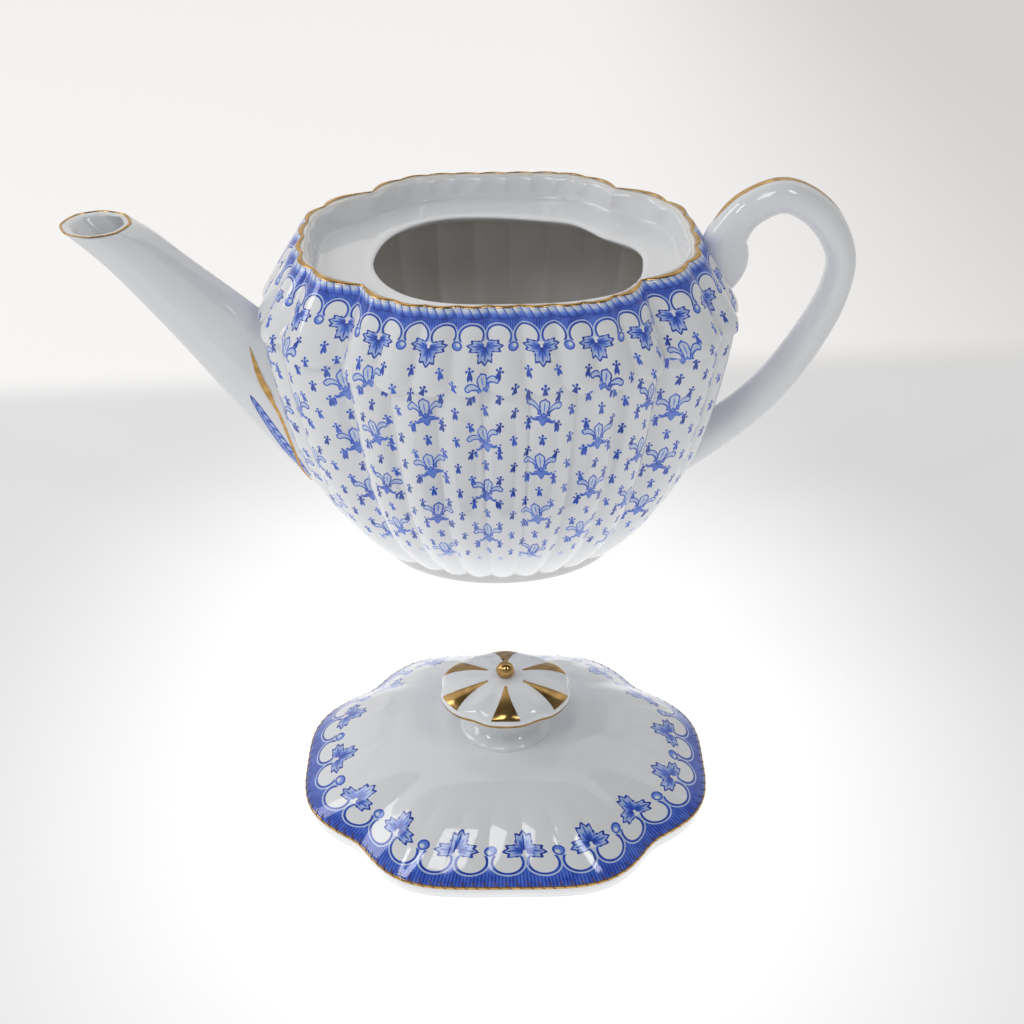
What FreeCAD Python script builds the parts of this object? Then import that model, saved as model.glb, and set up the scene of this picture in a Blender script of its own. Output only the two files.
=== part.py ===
import FreeCAD, Part
import math
import os
from FreeCAD import Vector

# A fluted porcelain teapot of oblong plan with cut-in corners, its lid standing in front of it.
# Millimetres. The handle points to +X, the spout to -X, the lid stands at -Y, and Z is up.
# The model is built about the middle of the foot. The finished pieces are then moved so that the origin
# is on the table under the middle of the whole set.

# Foot
foot_half_length = 38.0
foot_half_width = 27.5
foot_height = 5.0
foot_wall = 4.5
foot_flare = 1.2

# Body wall: its plan at the foot, at the shoulder line and at the rim
wall = 3.0
floor = 3.5
base_half_length = 40.4
base_half_width = 30.4
shoulder_height = 87.0
shoulder_half_length = 70.4
shoulder_half_width = 58.0
shoulder_overhang = 1.7
rim_height = 110.0
rim_half_length = 58.5
rim_half_width = 50.5
belly_power = 3.7
belly_taper = 0.37
shoulder_power = 1.35

# Where the cut corner bites in, as shares of the half sizes, and how square the sides are
foot_notch = (0.66, 0.75)
shoulder_notch = (0.66, 0.755)
rim_notch = (0.667, 0.703)
foot_squareness = (2.2, 2.3)
shoulder_squareness = (3.9, 3.2)
rim_squareness = (4.6, 3.5)

# Lobes along each long side and each end, and how far a lobe bulges for its width
lower_side_lobes = 7
lower_end_lobes = 5
upper_side_lobes = 9
upper_end_lobes = 6
foot_bulge = 0.10
lower_bulge = 0.12
rim_bulge = 0.125
inner_bulge = 0.06

# Gallery: the sunk seat of the lid, hung from the rim
rim_wall = 1.3
collar_top = 1.0
collar_foot = 1.8
collar_depth = 8.0
ledge = 3.0
mouth_half_length = 40.5
mouth_half_width = 31.8
mouth_shift = 3.0
gilt_height = 0.8

# Spout
spout_wall = 2.5
spout_facet_bulge = 0.075
strainer_hole = 4.5
strainer_pitch = 7.5

# Handle
handle_half_width = 6.2
handle_gilt_width = 2.2
handle_gilt_drop = 13.5
gilt_thickness = 0.3

# Lid, and where it stands
lid_clearance = 1.2
lid_notch = (0.70, 0.65)
lid_skirt = 4.2
lid_wall = 3.0
lid_rise = 14.0
lid_place = Vector(-2.5, -116.0, 0.0)
lid_turn = -1.9

# Knob on the lid
collar_radius = 11.6
neck_radius = 7.6
neck_height = 8.0
knob_half_length = 17.6
knob_half_width = 14.8
knob_lobes = 6
notch_radius = 4.0
notch_bite = 1.3
knob_thickness = 8.5
bead_radius = 2.4
wedge_half_angle = 11.0
wedge_start = 5.0

parts = "parts"
axis_z = Vector(0, 0, 1)
spread = 0.72


def mix(low, high, share):
    return low + (high - low) * share


def mix_pair(low, high, share):
    return (mix(low[0], high[0], share), mix(low[1], high[1], share))


class Plan:
    # One level of the pot: half sizes, the notch of the cut corner and the squareness of the sides

    def __init__(self, z, half_length, half_width, notch, squareness):
        self.z = z
        self.a = half_length
        self.b = half_width
        self.notch = notch
        self.squareness = squareness

    def inset(self, depth, z=None):
        level = self.z if z is None else z
        a = self.a - depth
        b = self.b - depth
        notch_x = self.notch[0] * self.a - spread * depth
        notch_y = self.notch[1] * self.b - spread * depth
        return Plan(level, a, b, (notch_x / a, notch_y / b), self.squareness)

    def side(self, share):
        # A point of the +Y side, from one notch (-1) to the other (+1)
        drop = abs(share) ** self.squareness[0]
        x = share * self.notch[0] * self.a
        y = self.b * mix(1.0, self.notch[1], drop)
        return Vector(x, y, self.z)

    def end(self, share):
        # A point of the +X end, from the notch at +Y (-1) to the one at -Y (+1)
        drop = abs(share) ** self.squareness[1]
        x = self.a * mix(1.0, self.notch[0], drop)
        y = -share * self.notch[1] * self.b
        return Vector(x, y, self.z)

    def stretches(self, side_lobes, end_lobes):
        # The outline as lobes: each is a function of 0 to 1, clockwise from the notch at -X +Y
        made = []
        for curve, count, turned in ((self.side, side_lobes, False), (self.end, end_lobes, False),
                                     (self.side, side_lobes, True), (self.end, end_lobes, True)):
            for lobe in range(count):
                made.append(self.stretch(curve, count, lobe, turned))
        return made

    def stretch(self, curve, count, lobe, turned):
        def at(share):
            point = curve(-1.0 + 2.0 * (lobe + share) / count)
            if turned:
                return Vector(-point.x, -point.y, point.z)
            return point
        return at


def lobe_edge(at, bulge):
    # A smooth edge along one lobe, swelling outwards from its two ends
    start = at(0.0)
    finish = at(1.0)
    chord = finish - start
    outward = Vector(-chord.y, chord.x, 0)
    points = []
    for step in range(5):
        share = step / 4.0
        points.append(at(share) + outward * (4.0 * bulge * share * (1.0 - share)))
    curve = Part.BSplineCurve()
    curve.interpolate(points)
    return curve.toShape()


def lobed_wire(plan, side_lobes, end_lobes, bulge):
    edges = []
    for at in plan.stretches(side_lobes, end_lobes):
        edges.append(lobe_edge(at, bulge))
    return Part.Wire(edges)


def smooth_wire(plan):
    # The same outline without lobes, rounded at its notches
    points = []
    for curve, turned in ((plan.side, False), (plan.end, False), (plan.side, True), (plan.end, True)):
        for share in (-1.0, -0.82, -0.5, 0.0, 0.5, 0.82):
            point = plan.stretch(curve, 2, 1, turned)(share)
            points.append(point)
    curve = Part.BSplineCurve()
    curve.interpolate(points, PeriodicFlag=True)
    return Part.Wire([curve.toShape()])


def ellipse_wire(centre, half_length, half_width):
    shape = Part.Ellipse(centre, max(half_length, half_width), min(half_length, half_width)).toShape()
    if half_width > half_length:
        shape.rotate(centre, axis_z, 90)
    return Part.Wire([shape])


def loft(wires, ruled=False):
    return Part.makeLoft(wires, True, ruled)


def prism(wire, height):
    return Part.Face(wire).extrude(Vector(0, 0, height))


def slab(low, high):
    # A block wider than the whole pot, between two heights
    reach = 400.0
    return Part.makeBox(2 * reach, 2 * reach, high - low, Vector(-reach, -reach, low))


# Plans of the body, level by level


def lower_plan(share):
    swell = mix(1.0 - (1.0 - share) ** belly_power, share, belly_taper)
    return Plan(mix(foot_height, shoulder_height, share),
                mix(base_half_length, shoulder_half_length, swell),
                mix(base_half_width, shoulder_half_width, swell),
                mix_pair(foot_notch, shoulder_notch, share),
                mix_pair(foot_squareness, shoulder_squareness, share))


def upper_plan(share):
    pull = share ** shoulder_power
    return Plan(mix(shoulder_height, rim_height, share),
                mix(shoulder_half_length + shoulder_overhang, rim_half_length, pull),
                mix(shoulder_half_width + shoulder_overhang, rim_half_width, pull),
                mix_pair(shoulder_notch, rim_notch, share),
                mix_pair(shoulder_squareness, rim_squareness, share))


rim_plan = upper_plan(1.0)
mouth_plan = rim_plan.inset(rim_wall)
ledge_top = rim_height - collar_depth
lid_plan = rim_plan.inset(rim_wall + collar_foot + lid_clearance, 0.0)


def make_body_outside():
    lower = []
    for share in (0.0, 0.07, 0.2, 0.42, 0.7, 1.0):
        bulge = mix(foot_bulge, lower_bulge, min(1.0, 3.0 * share))
        lower.append(lobed_wire(lower_plan(share), lower_side_lobes, lower_end_lobes, bulge))
    upper = []
    for share in (0.0, 0.3, 0.6, 0.82, 1.0):
        upper.append(lobed_wire(upper_plan(share), upper_side_lobes, upper_end_lobes, rim_bulge))
    return loft(lower).fuse(loft(upper))


def make_cavity():
    # The hollow follows the flutes softly, up to the underside of the rim
    roof = 0.8
    wires = []
    floor_share = floor / (shoulder_height - foot_height)
    for share in (floor_share, 0.16, 0.34, 0.62, 0.96):
        wires.append(lobed_wire(lower_plan(share).inset(wall), lower_side_lobes, lower_end_lobes, inner_bulge))
    for share in (0.4, 0.65, roof):
        wires.append(lobed_wire(upper_plan(share).inset(wall), lower_side_lobes, lower_end_lobes, inner_bulge))
    hollow = loft(wires)
    roof_height = upper_plan(roof).z
    mouth = mouth_plan.inset(0.0, roof_height - 1.0)
    return hollow.fuse(prism(smooth_wire(mouth), rim_height - roof_height + 2.0))


def make_strainer_holes():
    # Seven holes through the wall behind the spout
    low, high, half_width = spout_line[1]
    middle = (low + high) * 0.5
    holes = []
    for row in (-2, -1, 0, 1, 2):
        places = (0.0,) if row % 2 == 0 else (-0.5, 0.5)
        for place in places:
            start = Vector(low.x - 25.0, place * strainer_pitch, middle.z + row * strainer_pitch * 0.87)
            holes.append(Part.makeCylinder(strainer_hole / 2, 60.0, start, Vector(1, 0, 0)))
    return holes


def make_foot_ring():
    # A plain oval ring, flaring a little towards the body, hollow below
    low = ellipse_wire(Vector(0, 0, 0), foot_half_length, foot_half_width)
    top = ellipse_wire(Vector(0, 0, foot_height), foot_half_length + foot_flare, foot_half_width + foot_flare)
    inside = ellipse_wire(Vector(0, 0, -1), foot_half_length - foot_wall, foot_half_width - foot_wall)
    return loft([low, top], True).cut(prism(inside, foot_height + 2.0))


def mouth_wire(z):
    # The mouth as shares of its half sizes: round towards the spout, drawn in at the back by the handle
    shares = ((1.0, -0.04), (0.98, 0.15), (0.83, 0.35), (0.61, 0.65), (0.34, 0.86), (-0.13, 1.02),
              (-0.55, 0.97), (-0.88, 0.61), (-1.0, 0.03), (-0.93, -0.45), (-0.72, -0.81),
              (-0.4, -0.97), (0.05, -1.0), (0.45, -0.96), (0.77, -0.8), (0.94, -0.5))
    points = []
    for u, v in shares:
        points.append(Vector(mouth_shift + u * mouth_half_length, v * mouth_half_width, z))
    curve = Part.BSplineCurve()
    curve.interpolate(points, PeriodicFlag=True)
    return Part.Wire([curve.toShape()])


def make_gallery():
    # A collar that falls from the rim and a ledge with the mouth in it
    bottom = ledge_top - ledge
    outer = prism(smooth_wire(mouth_plan.inset(0.0, bottom)), rim_height - bottom)
    well_foot = smooth_wire(mouth_plan.inset(collar_foot, ledge_top))
    well_top = smooth_wire(mouth_plan.inset(collar_top, rim_height))
    well = loft([well_foot, well_top], True)
    mouth = prism(mouth_wire(bottom - 1.0), ledge + 2.0)
    return outer.cut(well).cut(mouth)


# Spout: matching points of its lower and upper edge, from inside the body to the lip
spout_line = ((Vector(-56, 0, 18), Vector(-54, 0, 69), 11.0),
              (Vector(-69, 0, 33), Vector(-68, 0, 81.5), 11.0),
              (Vector(-83, 0, 53), Vector(-78, 0, 90.5), 10.6),
              (Vector(-96.5, 0, 73), Vector(-86.5, 0, 97.8), 10.0),
              (Vector(-107, 0, 87.5), Vector(-94, 0, 104.3), 9.5),
              (Vector(-118, 0, 102), Vector(-102, 0, 111.3), 9.6),
              (Vector(-130, 0, 115), Vector(-108.6, 0, 115), 10.6))


def spout_wire(index, inset):
    # An oval of eight soft facets, in the plane of its two edge points
    low, high, half_width = spout_line[index]
    middle = (low + high) * 0.5
    up = (high - low).normalize()
    across = Vector(0, 1, 0)
    half_height = (high - low).Length / 2 - inset
    half_width = half_width - inset
    corners = []
    for corner in range(9):
        angle = math.radians(22.5 + 45.0 * corner)
        corners.append(middle + up * (half_height * math.cos(angle)) + across * (half_width * math.sin(angle)))
    edges = []
    for start, finish in zip(corners, corners[1:]):
        half_way = (start + finish) * 0.5
        outward = (half_way - middle).normalize()
        swell = outward * ((finish - start).Length * spout_facet_bulge)
        edges.append(Part.Arc(start, half_way + swell, finish).toShape())
    return Part.Wire(edges)


def make_spout(body_outside):
    outer = loft([spout_wire(index, 0.0) for index in range(len(spout_line))])
    bore = [spout_wire(index, spout_wall) for index in range(len(spout_line))]
    beyond = bore[-1].copy()
    beyond.translate(Vector(-1.5, 0, 2.0))
    channel = loft(bore + [beyond])
    tube = outer.cut(channel).cut(body_outside)
    outside = [piece for piece in tube.Solids if piece.BoundBox.ZMax > spout_lip_height() - 1.0]
    return outside[0]


def spout_lip_height():
    return spout_line[-1][0].z


# Handle: its middle line in the XZ plane with the half thickness there, from the shoulder down
handle_line = ((60.0, 92.0, 9.5), (67.5, 99.5, 8.8), (69.6, 108.6, 6.3), (75.4, 116.4, 5.6),
               (86.0, 120.3, 5.4), (97.3, 114.0, 5.1), (104.5, 101.8, 4.9), (104.1, 89.7, 4.9),
               (99.2, 76.7, 5.2), (90.1, 60.8, 5.6), (80.0, 48.8, 6.0), (67.5, 38.3, 6.6),
               (54.0, 28.5, 7.0))


def handle_loft(inset):
    points = [Vector(x, 0, z) for x, z, half in handle_line]
    path = Part.BSplineCurve()
    path.interpolate(points)
    wires = []
    for point, (x, z, half) in zip(points, handle_line):
        along = path.tangent(path.parameter(point))[0]
        out = Vector(0, 1, 0).cross(along).normalize()
        rim = []
        for step in range(12):
            angle = math.radians(30.0 * step)
            rim.append(point + out * ((half - inset) * math.cos(angle))
                       + Vector(0, (handle_half_width - inset) * math.sin(angle), 0))
        section = Part.BSplineCurve()
        section.interpolate(rim, PeriodicFlag=True)
        wires.append(Part.Wire([section.toShape()]))
    return loft(wires)


def make_handle(body_outside):
    whole = handle_loft(0.0)
    stripe = make_handle_stripe(whole)
    handle = whole.cut(body_outside).cut(stripe)
    outside = max(handle.Solids, key=lambda piece: piece.Volume)
    return outside, stripe


def make_handle_stripe(whole):
    # A gilt line over the top of the loop, let in flush with the surface
    left = handle_line[1][0]
    right = handle_line[6][0] + handle_half_width
    foot = handle_line[4][1] + handle_line[4][2] - handle_gilt_drop
    corner = Vector(left, -handle_gilt_width / 2, foot)
    band = Part.makeBox(right - left, handle_gilt_width, 2 * handle_gilt_drop, corner)
    skin = whole.common(band).cut(handle_loft(gilt_thickness))
    return max(skin.Solids, key=lambda piece: piece.BoundBox.ZMax)


# Lid, built standing at the origin


def lid_level(share, drop):
    # Levels of the dome from its edge (0) to the ring under the knob (1)
    ease = 1.0 - (1.0 - share) ** 2.2
    a = mix(lid_plan.a, collar_radius, share)
    b = mix(lid_plan.b, collar_radius, share)
    round_notch = (0.72, 0.70)
    notch = mix_pair(lid_notch, round_notch, share)
    square = mix_pair(rim_squareness, foot_squareness, share)
    return Plan(lid_skirt + lid_rise * ease - drop, a, b, notch, square)


def make_lid_dome():
    foot = lid_level(0.0, lid_skirt)
    outer = [smooth_wire(foot.inset(0.6))]
    inner = [smooth_wire(foot.inset(lid_wall, -1.0))]
    for share in (0.0, 0.16, 0.4, 0.7, 1.0):
        outer.append(smooth_wire(lid_level(share, 0.0)))
    for share in (0.0, 0.16, 0.4, 0.7):
        inner.append(smooth_wire(lid_level(share, lid_wall).inset(lid_wall * (1.0 - share))))
    skirt = loft(outer[:2], True)
    dome = loft(outer[1:])
    hollow = loft(inner[:2], True).fuse(loft(inner[1:]))
    return skirt.fuse(dome).cut(hollow)


def make_lid_gilding():
    # A gilt band round the edge, where the skirt meets the dome
    edge = lid_level(0.0, 0.0)
    band = prism(smooth_wire(edge.inset(-1.0, lid_skirt - gilt_height)), gilt_height)
    core = prism(smooth_wire(edge.inset(gilt_thickness * 2, lid_skirt - gilt_height)), gilt_height)
    return band.cut(core)


def make_knob_neck():
    # A ring on the dome and a waisted neck under the knob
    foot = lid_skirt + lid_rise
    top = foot + neck_height
    waist = Part.Arc(Vector(collar_radius, 0, foot + 0.8),
                     Vector(neck_radius + 0.9, 0, foot + 0.35 * neck_height),
                     Vector(neck_radius, 0, foot + 0.6 * neck_height)).toShape()
    flare = Part.LineSegment(Vector(neck_radius, 0, foot + 0.6 * neck_height),
                             Vector(neck_radius + 1.0, 0, top)).toShape()
    outline = [Vector(neck_radius + 1.0, 0, top), Vector(0, 0, top), Vector(0, 0, foot),
               Vector(collar_radius, 0, foot), Vector(collar_radius, 0, foot + 0.8)]
    edges = [waist, flare] + list(Part.makePolygon(outline).Edges)
    face = Part.Face(Part.Wire(Part.__sortEdges__(edges)))
    return face.revolve(Vector(0, 0, 0), axis_z, 360)


def make_knob_cap():
    # A shallow oval button with a rolled edge, bitten by a round notch between each two lobes
    foot = lid_skirt + lid_rise + neck_height
    levels = ((0.0, 0.55), (0.2, 0.93), (0.4, 1.0), (0.6, 0.9), (0.82, 0.56), (1.0, 0.16))
    wires = []
    for height, share in levels:
        centre = Vector(0, 0, foot + knob_thickness * height)
        wires.append(ellipse_wire(centre, share * knob_half_length, share * knob_half_width))
    button = loft(wires, True)
    for lobe in range(knob_lobes):
        angle = math.radians(360.0 / knob_lobes * (lobe + 0.5) - 90.0)
        reach = math.hypot(knob_half_length * math.cos(angle), knob_half_width * math.sin(angle))
        centre = Vector(math.cos(angle), math.sin(angle), 0) * (reach + notch_radius - notch_bite)
        centre.z = foot - 1.0
        button = button.cut(Part.makeCylinder(notch_radius, knob_thickness + 2.0, centre))
    return button


def make_knob_gilding(cap):
    # Six gilt wedges let into the top of the button
    foot = lid_skirt + lid_rise + neck_height
    rings = []
    for height, share in ((0.4, 0.95), (0.94, 0.16)):
        centre = Vector(0, 0, foot + knob_thickness * height)
        rings.append(ellipse_wire(centre, share * knob_half_length, share * knob_half_width))
    under = loft(rings, True)
    wedges = []
    for lobe in range(knob_lobes):
        angle = math.radians(360.0 / knob_lobes * lobe - 90.0)
        half = math.radians(wedge_half_angle)
        tip = Vector(wedge_start * math.cos(angle), wedge_start * math.sin(angle), 0)
        far = 1.5 * knob_half_length
        left = Vector(far * math.cos(angle - half), far * math.sin(angle - half), 0)
        right = Vector(far * math.cos(angle + half), far * math.sin(angle + half), 0)
        face = Part.Face(Part.makePolygon([tip, left, right, tip]))
        face.translate(Vector(0, 0, foot + 0.5 * knob_thickness))
        skin = cap.common(face.extrude(Vector(0, 0, knob_thickness))).cut(under)
        wedges.append(max(skin.Solids, key=lambda piece: piece.Volume))
    return wedges


def make_knob_bead():
    # The bead stands on the flat top of the button
    top = lid_skirt + lid_rise + neck_height + knob_thickness
    ball = Part.makeSphere(bead_radius, Vector(0, 0, top + 0.7 * bead_radius))
    return ball.cut(slab(top - 3 * bead_radius, top))


def stand_lid(shape):
    placed = shape.copy()
    placed.rotate(Vector(0, 0, 0), axis_z, lid_turn)
    placed.translate(lid_place)
    return placed


def find_middle(nodes):
    # The point on the table under the middle of everything
    everything = Part.makeCompound([shape for shapes in nodes.values() for shape in shapes])
    box = everything.optimalBoundingBox(False, False)
    return Vector((box.XMin + box.XMax) / 2, (box.YMin + box.YMax) / 2, box.ZMin)


def save(name, shapes, middle):
    solids = []
    for shape in shapes:
        moved = shape.copy()
        moved.translate(-middle)
        solids.extend(moved.Solids)
    made = solids[0] if len(solids) == 1 else Part.makeCompound(solids)
    made.exportStep(os.path.join(parts, name + ".step"))
    volume = sum(solid.Volume for solid in solids)
    valid = all(solid.isValid() for solid in solids)
    print(name, len(solids), "solid", round(volume), "mm3", "valid" if valid else "NOT VALID")


def main():
    os.makedirs(parts, exist_ok=True)
    nodes = {}
    body_outside = make_body_outside()
    body = body_outside.cut(make_cavity())
    for hole in make_strainer_holes():
        body = body.cut(hole)
    crown = slab(rim_height - gilt_height, rim_height + 1.0)
    nodes["rim_gilding"] = [body.common(crown)]
    nodes["body_shell"] = [body.cut(crown)]
    nodes["foot_ring"] = [make_foot_ring()]
    nodes["gallery"] = [make_gallery()]

    spout = make_spout(body_outside)
    lip = slab(spout_lip_height() - gilt_height, spout_lip_height() + 1.0)
    nodes["spout_lip_gilding"] = [spout.common(lip)]
    nodes["spout"] = [spout.cut(lip)]
    handle, stripe = make_handle(body_outside)
    nodes["handle"] = [handle]
    nodes["handle_gilding"] = [stripe]

    edge = make_lid_gilding()
    dome = make_lid_dome()
    cap = make_knob_cap()
    wedges = make_knob_gilding(cap)
    nodes["lid_gilding"] = [stand_lid(dome.common(edge))]
    nodes["lid_dome"] = [stand_lid(dome.cut(edge))]
    nodes["knob_neck"] = [stand_lid(make_knob_neck())]
    nodes["knob_gilding"] = [stand_lid(wedge) for wedge in wedges]
    for wedge in wedges:
        cap = cap.cut(wedge)
    nodes["knob_cap"] = [stand_lid(cap)]
    nodes["knob_bead"] = [stand_lid(make_knob_bead())]

    middle = find_middle(nodes)
    for name, shapes in nodes.items():
        save(name, shapes, middle)
    print("middle", middle)


main()
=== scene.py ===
import math
import bpy
import numpy as np
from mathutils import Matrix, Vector


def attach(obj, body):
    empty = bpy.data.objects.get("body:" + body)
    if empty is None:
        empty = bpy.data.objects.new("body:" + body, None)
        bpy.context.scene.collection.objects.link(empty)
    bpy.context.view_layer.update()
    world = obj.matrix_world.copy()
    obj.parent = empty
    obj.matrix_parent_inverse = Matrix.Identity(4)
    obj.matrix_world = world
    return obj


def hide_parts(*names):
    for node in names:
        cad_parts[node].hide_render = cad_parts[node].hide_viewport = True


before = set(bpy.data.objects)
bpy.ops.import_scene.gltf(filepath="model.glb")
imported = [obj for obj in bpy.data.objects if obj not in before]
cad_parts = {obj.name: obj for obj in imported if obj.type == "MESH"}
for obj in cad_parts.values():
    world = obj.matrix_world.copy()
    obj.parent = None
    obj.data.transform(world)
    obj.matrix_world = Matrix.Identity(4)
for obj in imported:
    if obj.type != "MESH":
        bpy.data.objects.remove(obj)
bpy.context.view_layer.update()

mm = 0.001
footMiddle = np.array([9.983, 50.805, 0.0])  # the middle of the foot in the part's frame
bareRow = 500.0  # a row number of the print's map that lies past all ink

# Plan of the pot, level by level, in millimetres
pot = {
    "footHeight": 5.0, "shoulder": 87.0, "rim": 110.0, "base": (40.4, 30.4), "belly": (70.4, 58.0),
    "overhang": 1.7, "rimHalf": (58.5, 50.5), "bellyPower": 3.7, "taper": 0.37, "shoulderPower": 1.15,
    "footNotch": (0.66, 0.75), "shoulderNotch": (0.66, 0.755), "rimNotch": (0.667, 0.703),
    "footSquare": (2.2, 2.3), "shoulderSquare": (3.9, 3.2), "rimSquare": (4.6, 3.5), "spread": 0.72,
    "columns": (126, 90), "lower": (7, 5), "upper": (9, 6), "wall": 3.0, "floor": 3.5, "rimWall": 1.3,
    "collarTop": 1.0, "collarFoot": 1.8, "collarDepth": 8.0, "ledge": 3.0,
}


def mix(low, high, t):
    return low + (high - low) * t


def mixPair(low, high, t):
    return (mix(low[0], high[0], t), mix(low[1], high[1], t))


def lowerPlan(t):
    swell = mix(1.0 - (1.0 - t) ** pot["bellyPower"], t, pot["taper"])
    return {"z": mix(pot["footHeight"], pot["shoulder"], t),
            "half": mixPair(pot["base"], pot["belly"], swell),
            "notch": mixPair(pot["footNotch"], pot["shoulderNotch"], t),
            "square": mixPair(pot["footSquare"], pot["shoulderSquare"], t)}


def upperPlan(t):
    wide = [half + pot["overhang"] for half in pot["belly"]]
    return {"z": mix(pot["shoulder"], pot["rim"], t),
            "half": mixPair(wide, pot["rimHalf"], t ** pot["shoulderPower"]),
            "notch": mixPair(pot["shoulderNotch"], pot["rimNotch"], t),
            "square": mixPair(pot["shoulderSquare"], pot["rimSquare"], t)}


def insetPlan(plan, depth, z=None):
    spread = pot["spread"] * depth
    pairs = list(zip(plan["notch"], plan["half"]))
    return {"z": plan["z"] if z is None else z, "half": [half - depth for notch, half in pairs],
            "notch": [(notch * half - spread) / (half - depth) for notch, half in pairs],
            "square": plan["square"]}


# Every point round the pot has the number of its quarter, and its place along it from -1 to 1
counts = pot["columns"] * 2
kind = np.repeat(np.arange(4), counts)
share = np.concatenate([-1.0 + 2.0 * np.arange(count) / count for count in counts])
isSide = kind % 2 == 0


def basePoint(plan, along):
    a, b = plan["half"]
    nx, ny = plan["notch"]
    reach = np.abs(along)
    sideX = along * nx * a
    sideY = b * mix(1.0, ny, reach ** plan["square"][0])
    endX = a * mix(1.0, nx, reach ** plan["square"][1])
    endY = -along * ny * b
    turned = np.where(kind >= 2, -1.0, 1.0)
    return np.stack([np.where(isSide, sideX, endX) * turned, np.where(isSide, sideY, endY) * turned], axis=1)


def lobePlace(lobes):
    count = np.where(isSide, *lobes)
    place = (share + 1.0) / 2.0 * count
    index = np.minimum(np.floor(place + 1e-9), count - 1)
    return count, index, place - index


def lobedRing(plan, lobes, bulge, groove=0.0):
    count, index, along = lobePlace(lobes)
    start = basePoint(plan, -1.0 + 2.0 * index / count)
    finish = basePoint(plan, -1.0 + 2.0 * (index + 1.0) / count)
    chord = finish - start
    outward = np.stack([-chord[:, 1], chord[:, 0]], axis=1)
    swell = 4.0 * (bulge + groove) * along * (1.0 - along) - groove
    return basePoint(plan, share) + outward * swell[:, None]


def smoothRing(plan, passes=10):
    # The outline without lobes, rounded at its notches
    ring = basePoint(plan, share)
    for again in range(passes):
        ring = 0.5 * ring + 0.25 * (np.roll(ring, 1, axis=0) + np.roll(ring, -1, axis=0))
    return ring


def withHeight(ring, z):
    height = np.full(len(ring), z) if np.isscalar(z) else z
    return np.column_stack([ring, height])


def drawnIn(ring, scale):
    return ring * np.array([scale, scale, 1.0])


def ovalRing(angles, a, b, z):
    return np.stack([a * np.cos(angles), b * np.sin(angles), np.zeros(len(angles)) + z], axis=1)


def curvePoint(before, here, after, beyond, t):
    # A point of a smooth line, between here and after
    bend = (2 * before - 5 * here + 4 * after - beyond) * t ** 2
    twist = (3 * here - before - 3 * after + beyond) * t ** 3
    return 0.5 * (2 * here + (after - before) * t + bend + twist)


def closedCurve(points, steps):
    around = [np.roll(points, back, axis=0) for back in (1, 0, -1, -2)]
    made = [curvePoint(*around, t) for t in np.arange(steps) / steps]
    return np.stack(made, axis=1).reshape(-1, points.shape[1])


def openCurve(points, steps):
    # A smooth line through the points and the values that go with them
    points = np.asarray(points, dtype=float)
    padded = np.vstack([2 * points[0] - points[1], points, 2 * points[-1] - points[-2]])
    made = []
    for index in range(len(points) - 1):
        made += [curvePoint(*padded[index:index + 4], t) for t in np.arange(steps) / steps]
    made.append(points[-1])
    return np.array(made)


# Meshes


def addObject(name, data):
    made = bpy.data.objects.new(name, data)
    bpy.context.scene.collection.objects.link(made)
    return made


def gridObject(name, rows, closed=False, uv=None, wrap=True, flip=False):
    rows = np.asarray(rows, dtype=float)
    rowCount, colCount = rows.shape[:2]
    points = (rows.reshape(-1, 3) + footMiddle) * mm
    across = colCount if wrap else colCount - 1
    r, c = np.meshgrid(np.arange(rowCount - 1), np.arange(across), indexing="ij")
    corners = [(r, c), (r + 1, c), (r + 1, c + 1), (r, c + 1)]
    ends = []
    if closed:
        first = list(range(colCount))
        ends = [first, [(rowCount - 1) * colCount + col for col in reversed(first)]]
    if flip:
        corners.reverse()
        ends = [face[::-1] for face in ends]
    quads = np.stack([row * colCount + col % colCount for row, col in corners], axis=-1).reshape(-1, 4)
    mesh = bpy.data.meshes.new(name)
    mesh.from_pydata(points.tolist(), [], quads.tolist() + ends)
    mesh.polygons.foreach_set("use_smooth", [True] * len(mesh.polygons))
    if uv is not None:
        uvRows, uvCols = uv
        layer = mesh.uv_layers.new(name="printUv")
        values = [np.stack([uvCols[col], uvRows[row]], axis=-1) for row, col in corners]
        flat = np.stack(values, axis=2).reshape(-1, 2)
        bare = np.tile([0.0, bareRow], (len(ends) * colCount, 1))
        layer.data.foreach_set("uv", np.vstack([flat, bare]).ravel())
    mesh.update()
    return addObject(name, mesh)


def settle(made, body, slot, material, *nodes):
    made.data.materials.append(material)
    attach(made, body)
    if nodes:
        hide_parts(*nodes)


# Paint written as sums: each value is a socket of the material's node tree

inkTree = {"tree": None}


class Val:
    def __init__(self, socket):
        self.socket = socket

    def __add__(self, other):
        return calc("ADD", self, other)

    def __sub__(self, other):
        return calc("SUBTRACT", self, other)

    def __rsub__(self, other):
        return calc("SUBTRACT", other, self)

    def __mul__(self, other):
        return calc("MULTIPLY", self, other)

    def __truediv__(self, other):
        return calc("DIVIDE", self, other)


def addNode(label):
    return inkTree["tree"].nodes.new("ShaderNode" + label)


def feed(node, name, value):
    # A worked-out value is linked, and a plain one is set
    if isinstance(value, Val):
        inkTree["tree"].links.new(value.socket, node.inputs[name])
    else:
        node.inputs[name].default_value = value


def calc(operation, *values):
    node = addNode("Math")
    node.operation = operation
    for index, value in enumerate(values):
        feed(node, index, value)
    return Val(node.outputs[0])


def step(value, low, high, bottom=0.0, top=1.0):
    node = addNode("MapRange")
    node.interpolation_type = "SMOOTHSTEP"
    for index, item in enumerate((value, low, high, bottom, top)):
        feed(node, index, item)
    return Val(node.outputs[0])


def lower(a, b):
    return calc("MINIMUM", a, b)


def upper(a, b):
    return calc("MAXIMUM", a, b)


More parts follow.
